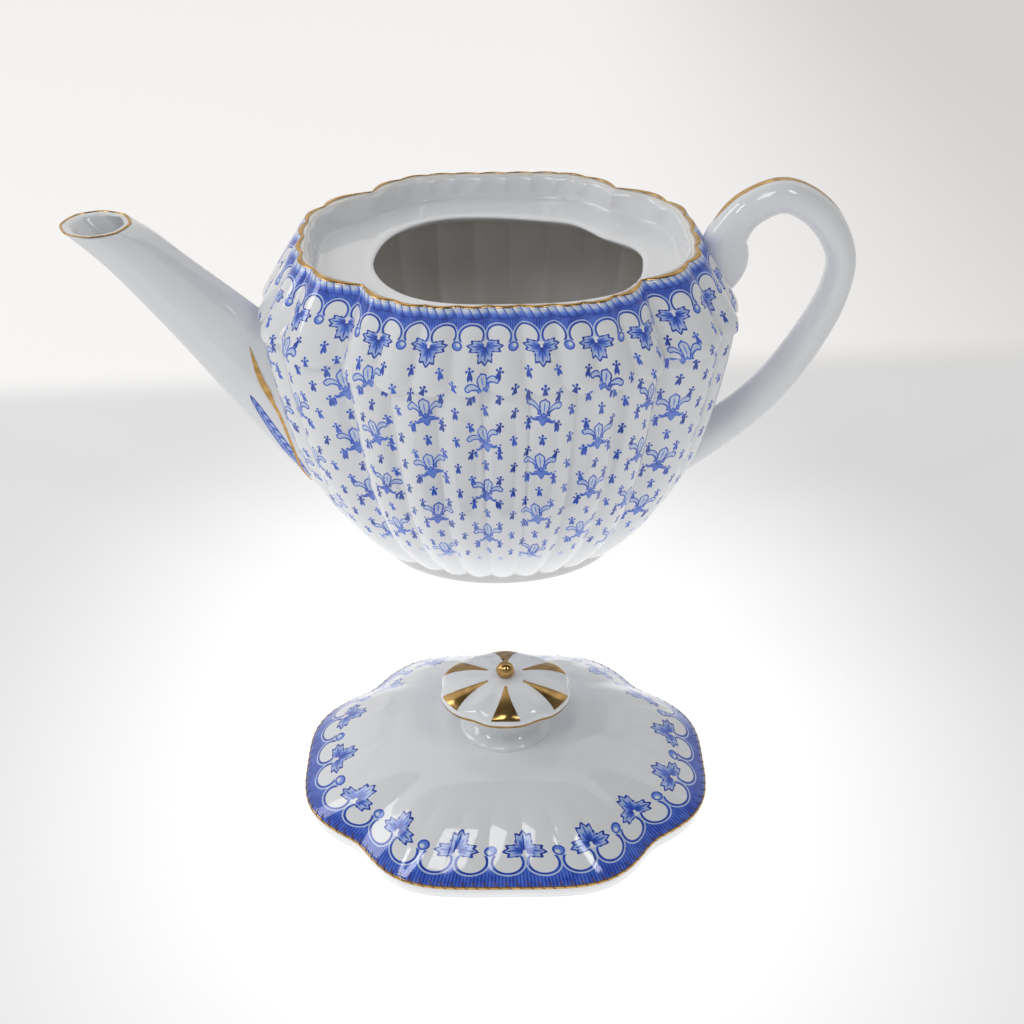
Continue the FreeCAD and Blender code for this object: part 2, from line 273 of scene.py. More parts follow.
def highest(values):
    made = values[0]
    for value in values[1:]:
        made = upper(made, value)
    return made


def size(value):
    return calc("ABSOLUTE", value)


def whole(value):
    return calc("FLOOR", value)


def part(value):
    return calc("FRACT", value)


def length(x, y):
    return calc("SQRT", x * x + y * y)


# Ink over shapes given by their signed distance, with an edge as soft as the print's
soft = 0.08


def inside(distance, ink=1.0):
    return step(distance, -soft, soft, ink, 0.0)


def outside(distance):
    return step(distance, -soft, soft)


def line(distance, half, ink=1.0):
    return inside(size(distance) - half, ink)


def leafShape(x, y, halfLength, halfWidth):
    # A leaf pointed at both ends, standing along y
    radius = (halfLength ** 2 + halfWidth ** 2) / (2 * halfWidth)
    return length(size(x) + (radius - halfWidth), y) - radius


# The print in millimetres: rope, arcade and beads down from the rim, then rows of sprigs and spots
printed = {"pitch": 7.4, "centre": 8.7, "outer": 3.95, "inner": 3.2, "gilt": 0.9, "rope": 3.8,
           "bead": 1.2, "beadDrop": 3.0, "firstRow": 19.4, "row": 4.9}


def ropeInk(u, v):
    fall = (v - printed["gilt"]) / (printed["rope"] - printed["gilt"])
    place = part(u * 3.0 + fall * 0.7)
    shade = step(fall, 0.2, 0.95, 0.1, 0.74) + step(place, 0.0, 0.7, 0.2, 0.0)
    stroke = step(size(place - 0.5), 0.41, 0.46)
    return upper(shade, stroke) * inside(v - printed["rope"])


def arcadeInk(u, v, top):
    centre, outer, inner = printed["centre"], printed["outer"], printed["inner"]
    x = (part(u) - 0.5) * printed["pitch"]
    ring = length(x, v - centre)
    above = step(v, centre - 0.2, centre + 0.5, 1.0, 0.0)
    below = outside(v - top)
    horseshoe = step(v, centre + 1.5, centre + 1.9, 1.0, 0.0)
    hatch = step(size(part(u * 11.0) - 0.5), 0.16, 0.4, 0.64, 0.9)
    ground = hatch * step(v, printed["rope"], centre, 1.12, 0.82)
    field = ground * outside(ring - outer) * above * below
    ringBand = outside(ring - inner) * inside(ring - outer, 0.2) * below * horseshoe
    outline = line(ring - inner, 0.28, 0.95) * horseshoe
    edge = line(ring - outer, 0.12, 0.8) * above * below
    topLine = line(v - top, 0.24, 0.98)
    return highest([field, ringBand, outline, edge, topLine])


def fromSecondArch(u):
    # Millimetres aside from the nearest even arch
    half = u * 0.5
    return (half - whole(half + 0.5)) * 2.0 * printed["pitch"]


def beadInk(u, v):
    x = fromSecondArch(u - 1.0)
    y = v - (printed["centre"] + printed["beadDrop"])
    ring = length(x, y) - printed["bead"]
    shine = step(length(x + 0.3, y + 0.35), 0.2, 0.9, 0.06, 0.5)
    return upper(line(ring, 0.2, 0.92), inside(ring) * shine)


# Bearings in degrees round the leaf's white dot, 0 straight down
leafLook = {"drop": 3.3, "split": 52.0, "side": 98.0, "lobe": 46.0, "vein": 19.0, "long": 5.7, "shorter": 0.7}


def pendantInk(u, v):
    # A three-lobed leaf with saw-toothed edges, hung by its stalk, its veins fanning out from a white dot
    x = fromSecondArch(u)
    y = v - (printed["centre"] + leafLook["drop"])
    reach = length(x, y)
    arcPerDegree = reach * math.radians(1.0)
    bearing = size(calc("ARCTAN2", x, y)) * math.degrees(1.0)
    onSide = step(bearing, leafLook["split"], leafLook["split"] + 1.0)
    off = bearing - onSide * leafLook["side"]
    away = off / leafLook["lobe"]
    teeth = size(part(away * 2.0 + 0.5) - 0.5) * 2.0
    edge = (leafLook["long"] - onSide * leafLook["shorter"]) * (1.0 - away * away * 0.5)
    edge = edge * (1.0 - teeth * 0.2) * step(bearing, 140.0, 165.0, 1.0, 0.35)
    distance = reach - edge
    depth = reach / edge
    fill = step(depth, 0.2, 0.8, 0.82, 0.28)
    rim = line(distance + 0.3, 0.34, 1.0)
    rib = line(off * arcPerDegree, 0.16, 1.0) * step(depth, 0.65, 0.9, 1.0, 0.0)
    fan = line((size(off) - leafLook["vein"]) * arcPerDegree, 0.13, 0.95) * step(depth, 0.45, 0.7, 1.0, 0.0)
    dot = step(length(x, y + 0.3), 0.3, 0.5)
    return highest([inside(distance) * fill, rim, rib, fan]) * dot


def leaning(x, y, column, lap, salt, amount):
    # Each motif leans a little its own way
    joined = addNode("CombineXYZ")
    feed(joined, 0, column + salt)
    feed(joined, 1, lap + salt * 1.7)
    mixed = addNode("TexWhiteNoise")
    mixed.noise_dimensions = "2D"
    feed(mixed, "Vector", Val(joined.outputs[0]))
    chance = Val(mixed.outputs["Value"])
    lean = (chance - 0.5) * amount
    return x + y * lean, y - x * lean, chance


def rowPlace(down, period):
    # Height over the nearest row of motifs, that row's number, and where the rows have begun
    rise = down / period
    lap = whole(rise + 0.5)
    return (lap - rise) * period, lap, step(rise, -0.5, -0.49)


sprigLook = {"wide": 0.94, "tall": 1.2, "raise": 0.9, "salt": 3.1, "lean": 0.6, "faintest": 0.8}


def sprigInk(u, v):
    # A lily sprig, in millimetres from its knot: a middle petal, two bending arms, a knot, legs and paws
    column = whole(u * 0.5 + 0.5)
    x = (u * 0.5 - column) * 2.0 * printed["pitch"]
    odd = part(column * 0.5) * 2.0
    down = v - printed["firstRow"] - printed["row"] - odd * 2.0 * printed["row"]
    y, lap, shown = rowPlace(down, 4.0 * printed["row"])
    y = y / sprigLook["tall"] + sprigLook["raise"]
    x, y, chance = leaning(x / sprigLook["wide"], y, column, lap, sprigLook["salt"], sprigLook["lean"])
    reach = size(x)
    petal = lower(length(x, y - 3.5) - 1.25, leafShape(x, y - 2.2, 2.9, 1.15))
    vein = leafShape(x, y - 2.7, 1.7, 0.2)
    bow = size(length(reach - 3.3, y - 0.75) - 2.25) - step(reach, 0.9, 3.0, 0.26, 0.7)
    arm = lower(upper(bow, upper(reach - 3.8, 0.3 - y)), length(reach - 3.8, y - 2.8) - 0.7)
    trunk = lower(leafShape(x, y + 1.0, 1.9, 0.85), leafShape(y + 0.85, x, 1.9, 0.7))
    leg = lower(leafShape(y + 1.1 + reach * 0.2, x, 3.6, 0.42), length((reach - 2.3) / 1.5, y + 1.5) - 0.45)
    paw = lower(length(reach - 3.6, y + 2.0) - 0.5, leafShape(reach - 3.6, y + 2.6, 1.2, 0.42))
    dots = length(size(reach - 3.6) - 0.6, y + 1.15) - 0.28
    inks = [line(petal, 0.19, 0.9), inside(petal, 0.16), inside(vein, 0.6),
            line(arm, 0.18, 0.9), inside(arm, 0.22), inside(trunk, 0.6), line(trunk, 0.16, 0.8),
            inside(leg, 0.78) * step(reach, 0.8, 1.1), inside(lower(paw, dots), 0.95)]
    return highest(inks) * shown * step(chance, 0.0, 1.0, sprigLook["faintest"], 1.05)


spotLook = {"tall": 1.15, "salt": 7.3, "lean": 0.7, "faintest": 0.74}


def spotInk(u, v, shift, rowShift):
    # Ermine-like spots of one set of rows: three dots over a tapering tail
    column = whole(u + 0.5 - shift) + shift
    x = (u - column) * printed["pitch"]
    y, lap, shown = rowPlace(v - printed["firstRow"] - rowShift * printed["row"], 2.0 * printed["row"])
    y = y / spotLook["tall"]
    x, y, chance = leaning(x, y, column, lap, spotLook["salt"] + rowShift, spotLook["lean"])
    reach = size(x)
    dots = lower(length(reach - 0.72, y - 0.75) - 0.33, length(x, y - 1.45) - 0.36)
    body = leafShape(x, y + 0.1, 1.3, 0.46)
    tails = leafShape(reach - 0.42, y + 0.9, 0.85, 0.27)
    ink = inside(lower(dots, lower(body, tails)))
    if shift == 0.0:  # a sprig stands in every fourth place of these rows
        even = 1.0 - part(column * 0.5) * 2.0
        meets = part((column * 0.5 + lap) * 0.5) * 2.0
        ink = ink * (1.0 - even * (1.0 - meets))
    return ink * step(chance, 0.0, 1.0, spotLook["faintest"], 1.05) * shown


def noiseValue(coords, scale, detail=3.0):
    node = addNode("TexNoise")
    for name, value in (("Scale", scale), ("Detail", detail), ("Vector", coords)):
        feed(node, name, value)
    return Val(node.outputs["Fac"])


def colourMix(factor, first, second):
    node = addNode("Mix")
    node.data_type = "RGBA"
    for name, value in (("Factor", factor), ("A", first), ("B", second)):
        feed(node, name, value)
    return Val(node.outputs["Result"])


def splitCoords(coords):
    node = addNode("SeparateXYZ")
    feed(node, 0, coords)
    return [Val(socket) for socket in node.outputs]


def objectCoords():
    return Val(addNode("TexCoord").outputs["Object"])


def printCoords():
    node = addNode("UVMap")
    node.uv_map = "printUv"
    return splitCoords(Val(node.outputs["UV"]))[:2]


def newMaterial(name):
    material = bpy.data.materials.new(name)
    material.use_nodes = True
    inkTree["tree"] = material.node_tree
    return material, material.node_tree.nodes["Principled BSDF"]


# foot is a darker grey, painted shade for the foot ring
glazeLook = {"white": (0.80, 0.81, 0.825, 1.0), "shade": (0.785, 0.80, 0.82, 1.0), "roughness": (0.06, 0.11),
             "coat": 0.5, "coatRoughness": 0.04, "ripple": 0.05, "rippleDepth": 0.002, "ior": 1.5,
             "foot": ((0.60, 0.60, 0.59, 1.0), (0.64, 0.64, 0.625, 1.0)), "within": (0.80, 0.775, 0.745, 1.0)}


def glazeBase(name):
    material, shader = newMaterial(name)
    coords = objectCoords()
    bump = addNode("Bump")
    feed(bump, "Strength", glazeLook["ripple"])
    feed(bump, "Distance", glazeLook["rippleDepth"])
    feed(bump, "Height", noiseValue(coords, 60.0, 2.0))
    feed(shader, "Normal", Val(bump.outputs["Normal"]))
    feed(shader, "Roughness", step(noiseValue(coords, 14.0), 0.3, 0.7, *glazeLook["roughness"]))
    feed(shader, "Base Color", glazeLook["white"])
    feed(shader, "IOR", glazeLook["ior"])
    feed(shader, "Coat Weight", glazeLook["coat"])
    feed(shader, "Coat Roughness", glazeLook["coatRoughness"])
    return material, shader, coords


def makeMottled(name, grain, first, second):
    # A glaze of two close tones: the grain is its scale, and where one tone gives way to the other
    material, shader, coords = glazeBase(name)
    feed(shader, "Base Color", colourMix(step(noiseValue(coords, grain[0]), *grain[1:]), first, second))
    return material


# Blue under the glaze: thin ink is pale and thick ink dark
inkStops = ((0.0, glazeLook["white"]), (0.18, (0.55, 0.64, 0.83, 1.0)), (0.45, (0.155, 0.28, 0.79, 1.0)),
            (0.72, (0.05, 0.125, 0.62, 1.0)), (1.0, (0.02, 0.045, 0.32, 1.0)))


def inkColour(coords, ink):
    patchy = step(noiseValue(coords, 420.0, 4.0), 0.25, 0.75, 0.8, 1.08)
    ramp = addNode("ValToRGB")
    elements = ramp.color_ramp.elements
    elements[0].color = inkStops[0][1]
    elements[1].color = inkStops[-1][1]
    for place, colour in inkStops[1:-1]:
        elements.new(place).color = colour
    feed(ramp, "Fac", ink * patchy)
    return Val(ramp.outputs["Color"])


# The leaf on the spout's root: rows of the spout, bearings in degrees, and millimetres per degree
patchLook = {"start": 24.0, "rows": 18.0, "bearing": 72.0, "swing": 34.0, "perDegree": 0.26, "half": 4.6}


def makeSpoutGlaze():
    # A long hatched leaf on each side of the spout's root
    material, shader, coords = glazeBase("spoutGlaze")
    bearing, row = printCoords()
    along = (patchLook["start"] - row) / patchLook["rows"]
    middle = patchLook["bearing"] - along * patchLook["swing"]
    off = (size(bearing - 180.0) - middle) * patchLook["perDegree"]
    half = calc("SQRT", upper(along * (1.05 - along), 0.0)) * patchLook["half"]
    run = along * patchLook["rows"]
    shape = upper(size(off) - half, upper(run * -1.0, run - patchLook["rows"]))
    hatch = step(size(part(along * 11.0 - size(off) * 0.55) - 0.5), 0.2, 0.42, 0.3, 0.8)
    rim = line(shape + 0.25, 0.28, 0.95)
    rib = line(off, 0.25, 0.9) * inside(shape)
    feed(shader, "Base Color", inkColour(coords, highest([inside(shape) * hatch, rim, rib])))
    return material


def makePrintedGlaze(name, withGround, insideTint):
    material, shader, coords = glazeBase(name)
    u, v = printCoords()
    inks = [arcadeInk(u, v, printed["rope"] if withGround else -50.0), beadInk(u, v), pendantInk(u, v)]
    if withGround:
        inks.append(ropeInk(u, v))
        ground = highest([sprigInk(u, v), spotInk(u, v, 0.5, 0.0), spotInk(u, v, 0.0, 1.0)])
        inks.append(ground * step(v, 92.0, 100.0, 1.0, 0.0))
    blue = inkColour(coords, highest(inks))
    # The inside is bare of print and takes the given tint: on the pot's body a warmer, slightly darker tint,
    # painted shade inside the pot
    feed(shader, "Base Color", colourMix(step(v, 300.0, 400.0), blue, insideTint))
    return material


goldLook = {"dark": (0.40, 0.235, 0.08, 1.0), "bright": (0.62, 0.40, 0.15, 1.0), "roughness": (0.13, 0.26)}


def makeGold():
    material, shader = newMaterial("wornGold")
    coords = objectCoords()
    worn = step(noiseValue(coords, 300.0, 5.0), 0.3, 0.72)
    feed(shader, "Metallic", 1.0)
    feed(shader, "Base Color", colourMix(worn, goldLook["dark"], goldLook["bright"]))
    feed(shader, "Roughness", step(noiseValue(coords, 180.0), 0.3, 0.7, *goldLook["roughness"]))
    return material


toneGrain = (22.0, 0.35, 0.65)
plainGlaze = makeMottled("plainGlaze", toneGrain, glazeLook["white"], glazeLook["shade"])
# Painted shade: the foot ring takes a darker grey glaze
shadedFootGlaze = makeMottled("shadedFootGlaze", toneGrain, *glazeLook["foot"])
# Painted shade: the inside of the pot takes the warmer, slightly darker tint within
bodyGlaze = makePrintedGlaze("printedGlaze", True, glazeLook["within"])
lidGlaze = makePrintedGlaze("lidGlaze", False, glazeLook["white"])
spoutGlaze = makeSpoutGlaze()
gold = makeGold()
print("materials made")


def rowLengths(rows):
    # How far each row is from the first, along the surface, on average round the pot
    steps = [0.0]
    for first, second in zip(rows, rows[1:]):
        steps.append(float(np.mean(np.linalg.norm(second - first, axis=1))))
    return np.cumsum(steps)


def archesAlong(ring, count, frontX):
    # Arch numbers along an outline, with a leaf standing at frontX on the -Y side
    closed = np.vstack([ring, ring[:1]])
    run = np.concatenate([[0.0], np.cumsum(np.linalg.norm(np.diff(closed, axis=0), axis=1))])
    arches = run / run[-1] * count
    front = np.argmin(np.abs(ring[:, 0] - frontX) + (ring[:, 1] > 0) * 1000.0)
    return arches - arches[front], run[-1]


bodyLook = {"arches": 52, "leafX": -5.2, "footBulge": 0.13, "lowerBulge": 0.12, "rimBulge": 0.125,
            "innerBulge": 0.10, "groove": 0.06, "shoulderGroove": 0.06, "tuck": 0.7, "arch": 2.4,
            "cornerDeep": 1.7, "cornerWide": 2.3, "cornerWay": (0.62, 0.78), "giltFoot": 109.6,
            "giltSide": 109.8, "throat": (109.0, 106.4, 105.6)}
wallHeight = pot["shoulder"] - pot["footHeight"]
giltShare = (bodyLook["giltFoot"] - pot["shoulder"]) / (pot["rim"] - pot["shoulder"])


def cutCorners(ring, plan, depth):
    # A narrow groove down each corner, where the sides meet the ends
    halves = [notch * half for notch, half in zip(plan["notch"], plan["half"])]
    off = (1.0 - np.abs(share)) * np.where(isSide, *halves) / bodyLook["cornerWide"]
    inward = np.sign(ring) * np.array(bodyLook["cornerWay"])
    return ring - inward * (depth * np.exp(-off ** 2))[:, None]


def wallRing(plan, bulge):
    return lobedRing(plan, pot["lower"], bulge, bodyLook["groove"])


def lowerFlutes(lift):
    # The lower flutes run up under the shoulder's hem
    rows = []
    nearFoot = np.linspace(0.0, 0.2, 12, endpoint=False)
    for t in np.concatenate([nearFoot, np.linspace(0.2, 0.985, 34), [0.996]]):
        plan = lowerPlan(t)
        bulge = mix(bodyLook["footBulge"], bodyLook["lowerBulge"], min(1.0, 3.0 * t))
        near = max(0.0, t - 0.9) * 10.0
        tucked = insetPlan(plan, bodyLook["tuck"] * near ** 2)
        depth = bodyLook["cornerDeep"] * mix(0.1, 1.0, min(1.0, 2.5 * t))
        ring = cutCorners(wallRing(tucked, bulge), plan, depth)
        rows.append(withHeight(ring, plan["z"] + lift * near))
    return rows


def upperFlutes(lift, brow):
    # The upper flutes end over the shoulder line in low arches
    rows = []
    for t in np.concatenate([[0.0, 0.004, 0.014, 0.03, 0.06], np.linspace(0.1, giltShare, 26)]):
        plan = upperPlan(t)
        bulge = bodyLook["rimBulge"] * min(1.0, 0.55 + 4.0 * t)
        ring = lobedRing(plan, pot["upper"], bulge, bodyLook["shoulderGroove"] * (1.0 - t))
        ring = cutCorners(ring, plan, bodyLook["cornerDeep"] * 0.8 * max(0.0, 1.0 - t / 0.8))
        if t == 0.0:
            rows.append(withHeight(mix(brow, ring, 0.2), plan["z"] - 0.05 + lift))
            ring = mix(brow, ring, 0.88)
        rows.append(withHeight(ring, plan["z"] + lift * max(0.0, 1.0 - t / 0.3)))
    return rows


def innerRing(plan):
    ring = cutCorners(wallRing(plan, bodyLook["innerBulge"]), plan, bodyLook["cornerDeep"])
    return withHeight(ring, plan["z"])


def insideRows(rimRing):
    throat = smoothRing(insetPlan(upperPlan(1.0), pot["rimWall"]))
    edge = mix(rimRing, throat, 0.5)
    rows = [withHeight(edge, bodyLook["giltFoot"]), withHeight(edge, bodyLook["giltSide"])]
    rows += [withHeight(throat, z) for z in bodyLook["throat"]]
    floorShare = pot["floor"] / wallHeight
    plans = [upperPlan(t) for t in (0.8, 0.72, 0.6, 0.45, 0.3, 0.15)]
    plans += [lowerPlan(t) for t in np.linspace(0.97, floorShare, 30)]
    rows += [innerRing(insetPlan(plan, pot["wall"])) for plan in plans]
    floorRing = rows[-1]
    for scale in (0.93, 0.8, 0.5, 0.04):
        sunk = np.array([0.0, 0.0, 0.6 * (1.0 - scale)])
        rows.append(drawnIn(floorRing, scale) - sunk)
    return rows


def makeBody():
    place = lobePlace(pot["upper"])[2]
    lift = bodyLook["arch"] * (1.0 - 4.0 * place * (1.0 - place))
    outer = lowerFlutes(lift)
    outer += upperFlutes(lift, outer[-1][:, :2])
    rimRing = outer[-1][:, :2]
    inner = insideRows(rimRing)
    arches, around = archesAlong(rimRing, bodyLook["arches"], bodyLook["leafX"])
    run = rowLengths(outer)
    down = run[-1] - run + printed["gilt"]
    uvRows = np.concatenate([[bareRow], down, [0.0], np.full(len(inner) - 1, bareRow)])
    print("rim runs", round(around, 1), "mm, the print hangs", round(float(down[0]), 1), "mm down")
    return gridObject("teapotBody", [drawnIn(outer[0], 0.04)] + outer + inner, True, (uvRows, arches))


settle(makeBody(), "pot", "porcelain", bodyGlaze, "body_shell")


def makeRimGold():
    outline = lobedRing(upperPlan(giltShare), pot["upper"], bodyLook["rimBulge"])
    top = lobedRing(upperPlan(0.993), pot["upper"], bodyLook["rimBulge"])
    inner = smoothRing(insetPlan(upperPlan(1.0), pot["rimWall"]))
    foot, side = bodyLook["giltFoot"], bodyLook["giltSide"]
    rows = [withHeight(outline, foot)]
    for reach, z in ((0.0, side), (0.2, 109.97), (0.42, 109.98), (0.48, side), (0.48, foot)):
        rows.append(withHeight(mix(top, inner, reach), z))
    rows.append(withHeight(outline, foot))
    return gridObject("rimGold", rows)


settle(makeRimGold(), "pot", "gilding", gold, "rim_gilding")

# The lid's seat: the mouth's outline as shares of its half sizes, and its edge as reach and depth
seatLook = {"mouth": (40.5, 31.8), "mouthShift": 3.0, "edgeTop": 109.05, "brow": 109.0, "roll": 108.3,
            "lip": 107.8, "fillet": 1.5, "slope": 0.3,
            "edge": ((0.985, 0.45), (1.0, 0.8), (0.97, 1.3), (0.9, 2.4), (0.8, 3.0)),
            "outline": ((1.0, -0.12), (0.99, 0.09), (0.93, 0.25), (0.83, 0.37), (0.73, 0.49), (0.65, 0.65),
                        (0.54, 0.82), (0.34, 0.92), (-0.13, 1.04), (-0.55, 0.98), (-0.87, 0.62), (-1.0, 0.03),
                        (-0.93, -0.45), (-0.72, -0.81), (-0.4, -0.97), (0.05, -1.0), (0.45, -0.96),
                        (0.77, -0.8), (0.94, -0.5))}


def mouthRing(angles):
    # The mouth as a smooth closed line, read at the asked directions from its middle
    dense = closedCurve(np.array(seatLook["outline"]) * np.array(seatLook["mouth"]), 24)
    bearing = np.arctan2(dense[:, 1], dense[:, 0])
    order = np.argsort(bearing)
    reach = np.hypot(dense[:, 0], dense[:, 1])[order]
    found = np.interp(angles, bearing[order], reach, period=2 * math.pi)
    return np.stack([np.cos(angles) * found, np.sin(angles) * found], axis=1)


def makeGallery():
    throat = insetPlan(upperPlan(1.0), pot["rimWall"])
    ledgeTop = pot["rim"] - pot["collarDepth"]
    ledgeFoot = ledgeTop - pot["ledge"]
    outer = smoothRing(throat)
    plainLip = smoothRing(insetPlan(throat, pot["collarTop"]))
    lobedLip = lobedRing(insetPlan(throat, pot["collarTop"] + 0.6), pot["upper"], 0.1)
    lip = mix(plainLip, lobedLip, 0.6)
    foot = smoothRing(insetPlan(throat, pot["collarFoot"]), 14)
    middle = np.array([seatLook["mouthShift"], 0.0])
    hole = mouthRing(np.arctan2(foot[:, 1] - middle[1], foot[:, 0] - middle[0])) + middle
    rows = [withHeight(outer, ledgeFoot), withHeight(outer, seatLook["edgeTop"])]
    for t, z in ((0.2, seatLook["brow"]), (0.8, seatLook["roll"]), (1.0, seatLook["lip"])):
        rows.append(withHeight(mix(outer, lip, t), z))
    radius = seatLook["fillet"]
    for t in (0.3, 0.6, 0.8):
        rows.append(withHeight(mix(lip, foot, t), mix(seatLook["lip"], ledgeTop + radius, t)))
    inward = (hole - foot) / np.linalg.norm(hole - foot, axis=1)[:, None]
    for angle in np.radians((20, 45, 70, 90)):
        ring = foot + inward * radius * (1.0 - math.cos(angle))
        rows.append(withHeight(ring, ledgeTop + radius * (1.0 - math.sin(angle))))
    for t in (0.2, 0.5, 0.8, 0.95):
        rows.append(withHeight(mix(foot, hole, t), ledgeTop - seatLook["slope"] * t))
    for t, down in seatLook["edge"]:
        rows.append(withHeight(mix(foot, hole, t), ledgeTop - down))
    rows.append(withHeight(outer, ledgeFoot))
    return gridObject("lidSeat", rows)


settle(makeGallery(), "pot", "porcelain", plainGlaze, "gallery")

# Foot: half length, half width and height round its section
footLook = {"around": 160,
            "section": ((39.9, 29.5, 4.98), (33.5, 23.0, 4.98), (33.5, 23.0, 1.0), (33.8, 23.3, 0.3),
                        (34.6, 24.1, 0.0), (37.0, 26.5, 0.0), (38.1, 27.6, 0.1), (38.8, 28.3, 0.6),
                        (39.2, 28.8, 1.5), (39.8, 29.4, 4.0), (39.9, 29.5, 4.98))}


def makeFoot():
    angles = -np.linspace(0.0, 2 * math.pi, footLook["around"], endpoint=False)
    return gridObject("footRing", [ovalRing(angles, a, b, z) for a, b, z in footLook["section"]])


settle(makeFoot(), "pot", "porcelain", shadedFootGlaze, "foot_ring")
print("pot body made")

# Spout: lower edge x and z, upper edge x and z, half width; the lip as inset and height
spoutLook = {"line": ((-56, 18, -54, 69, 11.0), (-69, 33, -68, 81.5, 11.0), (-83, 53, -78, 90.5, 10.6),
                      (-96.5, 73, -86.5, 97.8, 10.0), (-107, 87.5, -94, 104.3, 9.5),
                      (-118, 102, -102, 111.3, 9.6), (-129.7, 115, -108.6, 115, 10.6)),
             "steps": 14, "around": 96, "wall": 2.5, "facet": 0.42, "clear": -74.0,
             "lip": ((0.3, -0.5), (0.5, -0.25), (1.4, -0.2), (2.2, -0.5)),
             "lipGold": ((0.0, -0.25), (0.15, -0.05), (0.5, -0.02), (0.75, -0.12), (0.8, -0.5))}
sideways = np.array([0.0, 1.0, 0.0])
spoutStations = openCurve(spoutLook["line"], spoutLook["steps"])


def facetAt(angle):
    # Eight soft flats along the spout
    off = np.mod(angle, math.pi / 4) - math.pi / 8
    return mix(1.0, math.cos(math.pi / 8) / np.cos(off), spoutLook["facet"])


def spoutSection(station):
    lowX, lowZ, highX, highZ, half = station
    middle = np.array([(lowX + highX) / 2, 0.0, (lowZ + highZ) / 2])
    return middle, np.array([highX - lowX, 0.0, highZ - lowZ]) / 2, half


def spoutRing(station, inset, lift=0.0):
    middle, up, half = spoutSection(station)
    tall = np.linalg.norm(up)
    angles = np.linspace(0.0, 2 * math.pi, spoutLook["around"], endpoint=False)
    facet = facetAt(angles)
    height = (tall - inset) * np.cos(angles) * facet
    width = (half - inset) * np.sin(angles) * facet
    return middle + height[:, None] * (up / tall) + width[:, None] * sideways + np.array([0.0, 0.0, lift])


def wallMiddle(y, z):
    # How far out the middle of the body's wall stands at the spout's end of the pot
    plan = lowerPlan(min(max((z - pot["footHeight"]) / wallHeight, 0.0), 0.98))
    within = wallRing(insetPlan(plan, pot["wall"]), bodyLook["innerBulge"])
    middle = mix(wallRing(plan, bodyLook["lowerBulge"]), within, 0.5)
    end = middle[~isSide & (middle[:, 0] < 0.0)]
    order = np.argsort(end[:, 1])
    return np.interp(y, end[order, 1], end[order, 0])


def tuckIntoWall(ring):
    # The spout's root ends inside the thickness of the body's wall
    for index, (x, y, z) in enumerate(ring):
        if x > spoutLook["clear"]:
            ring[index, 0] = min(x, wallMiddle(y, z))
    return ring


def makeSpout():
    outer = [tuckIntoWall(spoutRing(station, 0.0)) for station in spoutStations]
    inner = [tuckIntoWall(spoutRing(station, spoutLook["wall"])) for station in spoutStations[:-1]]
    mouth = spoutStations[-1]
    glazed = outer[:-1]
    tube = glazed + [spoutRing(mouth, inset, z) for inset, z in spoutLook["lip"]]
    tube += list(reversed(inner)) + [outer[0]]
    uvRows = np.concatenate([np.arange(len(glazed)), np.full(len(tube) - len(glazed), bareRow)])
    bearings = np.linspace(0.0, 360.0, spoutLook["around"] + 1)
    lip = [mix(outer[-2], outer[-1], 0.6)] + [spoutRing(mouth, inset, z) for inset, z in spoutLook["lipGold"]]
    return gridObject("spoutTube", tube, uv=(uvRows, bearings)), gridObject("spoutLipGold", lip)


spoutTube, spoutLip = makeSpout()
settle(spoutTube, "pot", "porcelain", spoutGlaze, "spout")
settle(spoutLip, "pot", "gilding", gold, "spout_lip_gilding")

# A gilt flame that runs down each side of the spout's root: row, bearing in degrees, half width
flameLook = {"line": ((24.0, 301.0, 0.08), (22.0, 289.0, 0.65), (20.0, 279.5, 0.9), (18.0, 274.5, 1.0),
                      (16.3, 269.0, 0.55), (14.0, 261.0, 0.45), (11.0, 239.0, 0.42), (8.5, 217.0, 0.38),
                      (6.2, 201.0, 0.2)),
             "steps": 6, "lift": 0.16, "curl": 20.0}


def spoutPoint(row, bearing):
    index = int(row)
    middle, up, half = spoutSection(mix(spoutStations[index], spoutStations[index + 1], row - index))
    angle = math.radians(bearing)
    out = up / np.dot(up, up) * math.cos(angle) + sideways * math.sin(angle) / half
    reach = up * math.cos(angle) + sideways * half * math.sin(angle)
    return middle + reach * float(facetAt(angle)), out / np.linalg.norm(out)


def makeFlame(name, mirror):
    path = openCurve(flameLook["line"], flameLook["steps"])
    spots = [spoutPoint(row, bearing) for row, bearing, half in path]
    rows = []
    for index, (place, out) in enumerate(spots):
        along = spots[min(index + 1, len(spots) - 1)][0] - spots[max(index - 1, 0)][0]
        aside = np.cross(along, out)
        off = (path[index][2] * np.linspace(-1.0, 1.0, 5))[:, None]
        proud = flameLook["lift"] - off ** 2 / flameLook["curl"]
        strip = place + aside / np.linalg.norm(aside) * off + out * proud
        rows.append(strip * np.array([1.0, mirror, 1.0]))
    return gridObject(name, rows, wrap=False, flip=mirror < 0)


for name, mirror in (("spoutFlameNear", 1.0), ("spoutFlameFar", -1.0)):
    settle(makeFlame(name, mirror), "pot", "gilding", gold)
print("spout made")

# Handle: middle line x and z with the half thickness there
handleLook = {"line": ((60.0, 92.0, 9.5), (67.5, 99.5, 8.8), (69.6, 108.6, 6.3), (75.4, 116.4, 5.6),
                       (86.0, 120.3, 5.25), (97.3, 114.0, 5.1), (104.45, 101.8, 4.65), (104.05, 89.7, 4.7),
                       (99.2, 76.7, 5.2), (90.1, 60.8, 5.6), (80.0, 48.8, 6.0), (67.5, 38.3, 6.6),
                       (54.0, 28.5, 7.0)),
              "steps": 14, "around": 48, "half": 6.2, "stripe": (30, 76), "stripeHalf": 0.2,
              "stripeLift": 0.04}


